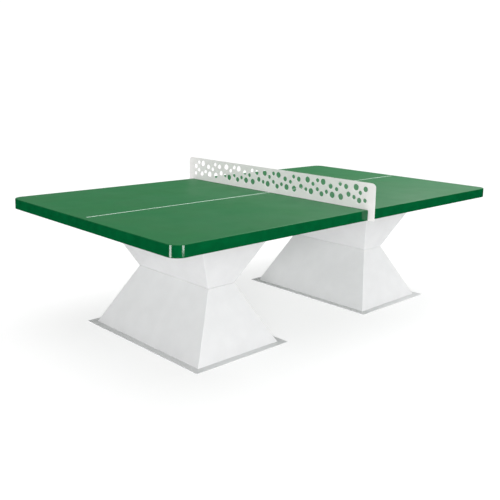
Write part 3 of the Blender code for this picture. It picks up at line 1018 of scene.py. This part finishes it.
def make_bolt(node, up, settings):
    """A flanged hexagon bolt in the place of a CAD bolt. up points from its tip to its head."""
    fastener = settings.fastener
    low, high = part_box(node)
    up = Vector(up)
    axis = max(range(3), key=lambda i: abs(up[i]))
    total = high[axis] - low[axis]
    seat = box_centre(node) - up * total / 2 + up * (total - HEAD_HEIGHT)
    edge = fastener.flange_height
    rim = fastener.flange_radius
    foot, *upper = hexagon_levels(fastener, HEAD_HEIGHT)
    stations = [*reversed(upper), (edge + HEXAGON_FOOT, foot[1])]
    stations += [
        (edge + CONE_TOP, fastener.across_flats / 2 / FLATS_BY_CORNERS * CONE_RADIUS_IN_CORNERS),
        (edge, rim - RIM_ROUND),
        (edge * 0.6, rim),
        (RIM_ROUND, rim),
        (0.0, rim - RIM_ROUND),
        (0.0, fastener.shank_radius),
    ]
    stations += thread_stations(fastener, PLAIN_NECK, total - HEAD_HEIGHT - TIP_LENGTH)
    bm = bmesh.new()
    loft(bm, turned_rings(seat_frame(seat, up), stations, fastener.points))
    bolt = add_object("m10_" + node, bm, zinc(settings))
    return finish_piece(bolt, "zinc", node)


def make_nut(node, settings):
    """A hexagon nut in the place of a CAD nut, with a thread in its bore."""
    fastener = settings.fastener
    low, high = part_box(node)
    height = high.x - low.x
    seat = box_centre(node)
    seat.x = low.x
    bore = fastener.shank_radius + BORE_CLEARANCE
    count = round(height / fastener.pitch * THREAD_STEPS)
    stations = hexagon_levels(fastener, height, chamfer_both=True)
    stations.append((height, bore + BORE_CHAMFER))
    for i in range(count + 1):
        along = height - NUT_THREAD_INSET - (height - 2 * NUT_THREAD_INSET) * i / count
        stations.append((along, threaded(bore, fastener.pitch, -along)))
    stations.append((0.0, bore + BORE_CHAMFER))
    bm = bmesh.new()
    loft_ring(bm, turned_rings(seat_frame(seat, (1, 0, 0)), stations, fastener.points))
    nut = add_object("m10_" + node, bm, zinc(settings))
    return finish_piece(nut, "zinc", node)


INSERT_POINTS = 60
INSERT_SIDE_GAP = 0.2 * MM
INSERT_END_GAP = 0.5 * MM
COLLAR_HEIGHT = 2.0 * MM
COLLAR_CHAMFER = 0.4 * MM
NECK_HEIGHT = 1.0 * MM
NECK_DEPTH = 0.8 * MM
MOUTH_CHAMFER = 0.6 * MM
KNURL_RIBS = 20
KNURL_DEPTH = 0.5 * MM
GROOVE_SHARES = (0.46, 0.47, 0.53, 0.54)  # of the insert's length, where its middle groove's edges are


def make_insert(screw, settings):
    """A knurled threaded bush, cast into the underside round a screw."""
    seat = box_centre(screw)
    seat.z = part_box("top_half_left")[0].z
    outer = settings.top.insert_radius - INSERT_SIDE_GAP
    long = settings.top.insert_length - INSERT_END_GAP
    bore = settings.fastener.shank_radius + BORE_CLEARANCE
    neck = outer - NECK_DEPTH
    neck_foot = COLLAR_HEIGHT + COLLAR_CHAMFER
    neck_top = neck_foot + NECK_HEIGHT

    def knurl(angle):
        return outer - KNURL_DEPTH / 2 + KNURL_DEPTH / 2 * math.cos(KNURL_RIBS * angle)

    stations = [
        (0.0, outer - COLLAR_CHAMFER),
        (COLLAR_CHAMFER, outer),
        (COLLAR_HEIGHT, outer),
        (neck_foot, neck),
        (neck_top, neck),
        (neck_top + COLLAR_CHAMFER, knurl),
    ]
    stations += [(share * long, reach) for share, reach in zip(GROOVE_SHARES, (knurl, neck, neck, knurl))]
    stations += [
        (long - MOUTH_CHAMFER, knurl),
        (long, neck),
        (long, bore),
        (MOUTH_CHAMFER, bore),
        (0.0, bore + MOUTH_CHAMFER),
    ]
    bm = bmesh.new()
    loft_ring(bm, turned_rings(seat_frame(seat, (0, 0, 1)), stations, INSERT_POINTS))
    insert = add_object("insert_" + screw, bm, zinc(settings))
    return finish_piece(insert, "zinc")


class TABLE_OT_inserts(bpy.types.Operator):
    """Make the knurled threaded inserts cast into the underside of the top"""

    bl_idname = "tennis_table.inserts"
    bl_label = "Threaded Inserts"

    def execute(self, context):
        for label in SIDES:
            for screw in screws_into(label):
                make_insert(screw, context.scene.tennis_table)
        return {"FINISHED"}


class TABLE_OT_top_screws(bpy.types.Operator):
    """Make the screws that hold the legs and the net angles up to the cast top"""

    bl_idname = "tennis_table.top_screws"
    bl_label = "Screws into the Top"

    def execute(self, context):
        for label in SIDES:
            for node in screws_into(label):
                make_bolt(node, (0, 0, -1), context.scene.tennis_table)
        return {"FINISHED"}


class TABLE_OT_waist_bolts(bpy.types.Operator):
    """Make the bolts that join each leg's two frusta at the waist"""

    bl_idname = "tennis_table.waist_bolts"
    bl_label = "Waist Bolts"

    def execute(self, context):
        for label in SIDES:
            for node in nodes_starting(f"leg_{label}_waist_bolt_"):
                make_bolt(node, (0, 0, 1), context.scene.tennis_table)
        return {"FINISHED"}


class TABLE_OT_clamp_bolts(bpy.types.Operator):
    """Make the bolts and nuts that clamp the net between its two angles"""

    bl_idname = "tennis_table.clamp_bolts"
    bl_label = "Clamp Bolts and Nuts"

    def execute(self, context):
        for node in nodes_starting("net_clamp_bolt_"):
            make_bolt(node, (-1, 0, 0), context.scene.tennis_table)
        for node in nodes_starting("net_clamp_nut_"):
            make_nut(node, context.scene.tennis_table)
        return {"FINISHED"}


# ---- Stage ----

FLOOR_RADIUS = 9.0
BACKDROP_HEIGHT = 6.0
BACKDROP_GLOW = 1.05
STAGE_POINTS = 96
WHITE = (1.0, 1.0, 1.0, 1.0)
BLACK = (0.0, 0.0, 0.0, 1.0)
# The even light fades over this much of the sky either side of the horizon, to this share of its strength.
HORIZON_BAND = 0.06
LIGHT_BELOW = 0.02
# Where each broad light comes from, and how wide it looks, in degrees.
BROAD_LIGHTS = {
    "overhead": {"azimuth": 0, "elevation": 89, "softness": 60},
    "fill": {"azimuth": 224, "elevation": 12, "softness": 20},
    "front": {"azimuth": -75, "elevation": 35, "softness": 60},
}
# Each strip light's place from the top's near lower corner, and its height.
STRIP_LIGHTS = {
    "left_strip_light": ((-2.26, 0.42, 0.20), 2.0),
    "front_strip_light": ((0.52, -2.24, 0.39), 1.9),
}
STRIP_WIDTH = 0.80
RIGHT_LIGHT_PLACE = Vector((3.0, 0.2, 3.2))
RIGHT_LIGHT_TARGET_X = 0.7
RIGHT_LIGHT_SIZE = 2.0
SENSOR_WIDTH = 36.0


def stage_material(name, tint, glow):
    """A matt face that may give off white light of its own."""
    material = bpy.data.materials.new(name)
    material.use_nodes = True
    return finished(material, {
        "Base Color": tint,
        "Roughness": 1.0,
        "Specular IOR Level": 0.0,
        "Emission Color": WHITE,
        "Emission Strength": glow,
    })


def make_floor(settings):
    """A white floor lit from beneath, so that the table's shadow stays faint."""
    bm = bmesh.new()
    rim = arc((0, 0), FLOOR_RADIUS, 0, 360, STAGE_POINTS)[:-1]
    bm.faces.new([bm.verts.new((x, y, 0.0)) for x, y in rim])
    matt = stage_material("lit_white_floor", shade(settings.floor_grey), settings.floor_glow)
    floor = add_object("stage_floor", bm, matt)
    floor.visible_glossy = False


def make_backdrop():
    """A white wall round the floor, which only the camera sees, so that it throws no light on the table."""
    bm = bmesh.new()
    circle = arc((0, 0), FLOOR_RADIUS, 0, 360, STAGE_POINTS)[:-1]
    join_rows(bm, add_rings(bm, [[(x, y, z) for x, y in circle] for z in (0.0, BACKDROP_HEIGHT)]))
    wall = add_object("stage_backdrop", bm, stage_material("white_backdrop", BLACK, BACKDROP_GLOW))
    wall.visible_glossy = False
    wall.visible_diffuse = False
    wall.visible_transmission = False
    wall.visible_shadow = False


def make_even_light(strength):
    """Even light from above the horizon and hardly any from below it, so that the top's edge stays deep."""
    world = bpy.data.worlds.new("even light")
    world.use_nodes = True
    direction = add_node(world, "TexCoord", output="Generated")
    height = add_node(world, "SeparateXYZ", {"Vector": direction}, output="Z")
    band = {"Value": height, "From Min": -HORIZON_BAND, "From Max": HORIZON_BAND}
    level = add_node(world, "MapRange", {**band, "To Min": LIGHT_BELOW * strength, "To Max": strength})
    set_inputs(world, world.node_tree.nodes["Background"], {"Color": WHITE, "Strength": level})
    bpy.context.scene.world = world


def add_broad_light(name, strength, azimuth, elevation, softness):
    """A light from far away, which the glossy edge doesn't mirror."""
    light = bpy.data.lights.new(name, "SUN")
    light.energy = strength
    light.angle = math.radians(softness)
    obj = bpy.data.objects.new(name, light)
    obj.rotation_euler = (math.radians(90 - elevation), 0.0, math.radians(azimuth + 90))
    obj.visible_glossy = False
    bpy.context.scene.collection.objects.link(obj)


def add_softbox(name, power, place, target, width, height):
    """A flat soft light, width by height, that faces target."""
    light = bpy.data.lights.new(name, "AREA")
    light.shape = "RECTANGLE"
    light.size = width
    light.size_y = height
    light.energy = power
    obj = bpy.data.objects.new(name, light)
    turn = (target - place).to_track_quat("-Z", "Y")
    obj.matrix_world = Matrix.Translation(place) @ turn.to_matrix().to_4x4()
    obj.visible_camera = False
    bpy.context.scene.collection.objects.link(obj)
    return obj


def make_lights(settings):
    """The even light, the broad lights, two strips mirrored by the near corner, and one over the right end."""
    make_even_light(settings.ambient)
    for name, direction in BROAD_LIGHTS.items():
        add_broad_light(name + "_light", getattr(settings, name), **direction)
    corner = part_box("top_half_left")[0]
    for name, (offset, height) in STRIP_LIGHTS.items():
        place = corner + Vector(offset)
        target = Vector((corner.x, corner.y, place.z))
        strip = add_softbox(name, settings.strip, place, target, STRIP_WIDTH, height)
        strip.visible_diffuse = False
    right_half = Vector((RIGHT_LIGHT_TARGET_X, 0.0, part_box("top_half_right")[1].z))
    size = RIGHT_LIGHT_SIZE
    add_softbox("right_high_light", settings.right, RIGHT_LIGHT_PLACE, right_half, size, size)


def make_camera(settings):
    """The camera, turned by its heading, then dipped, then tilted about its own axis."""
    data = bpy.data.cameras.new("camera")
    data.sensor_width = SENSOR_WIDTH
    data.lens = settings.focal
    data.shift_x = settings.shift_x
    data.shift_y = settings.shift_y
    camera = bpy.data.objects.new("camera", data)
    quarter = math.radians(90)
    heading = Matrix.Rotation(settings.heading - quarter, 4, "Z")
    dip = Matrix.Rotation(quarter - settings.dip, 4, "X")
    tilt = Matrix.Rotation(settings.tilt, 4, "Z")
    camera.matrix_world = Matrix.Translation(settings.camera_place) @ (heading @ dip) @ tilt
    bpy.context.scene.collection.objects.link(camera)
    bpy.context.scene.camera = camera


class TABLE_OT_stage(bpy.types.Operator):
    """Make the floor, the backdrop, the soft lights and the camera"""

    bl_idname = "tennis_table.stage"
    bl_label = "Stage"

    def execute(self, context):
        settings = context.scene.tennis_table.stage
        context.scene.view_settings.view_transform = "Standard"
        make_floor(settings)
        make_backdrop()
        make_lights(settings)
        make_camera(settings)
        return {"FINISHED"}


# ---- Add-on ----

OPERATORS = (
    TABLE_OT_cast_tops,
    TABLE_OT_centre_lines,
    TABLE_OT_net,
    TABLE_OT_gaskets,
    TABLE_OT_net_angles,
    TABLE_OT_legs,
    TABLE_OT_waist_backings,
    TABLE_OT_inserts,
    TABLE_OT_top_screws,
    TABLE_OT_waist_bolts,
    TABLE_OT_clamp_bolts,
    TABLE_OT_stage,
)


class TABLE_PT_panel(bpy.types.Panel):
    """Lists the table's pieces in the order they are made"""

    bl_idname = "TABLE_PT_panel"
    bl_label = "Table Tennis Table"
    bl_space_type = "VIEW_3D"
    bl_region_type = "UI"
    bl_category = "Table"

    def draw(self, context):
        for operator in OPERATORS:
            self.layout.operator(operator.bl_idname)


SETTINGS = (TopSettings, NetSettings, LegSettings, FastenerSettings, StageSettings, TableSettings)
CLASSES = (*SETTINGS, *OPERATORS, TABLE_PT_panel)


def register():
    for cls in CLASSES:
        bpy.utils.register_class(cls)
    bpy.types.Scene.tennis_table = PointerProperty(type=TableSettings)


def unregister():
    del bpy.types.Scene.tennis_table
    for cls in reversed(CLASSES):
        bpy.utils.unregister_class(cls)


def main():
    register()
    for operator in OPERATORS:
        group, name = operator.bl_idname.split(".")
        getattr(getattr(bpy.ops, group), name)()


if __name__ == "__main__":
    main()
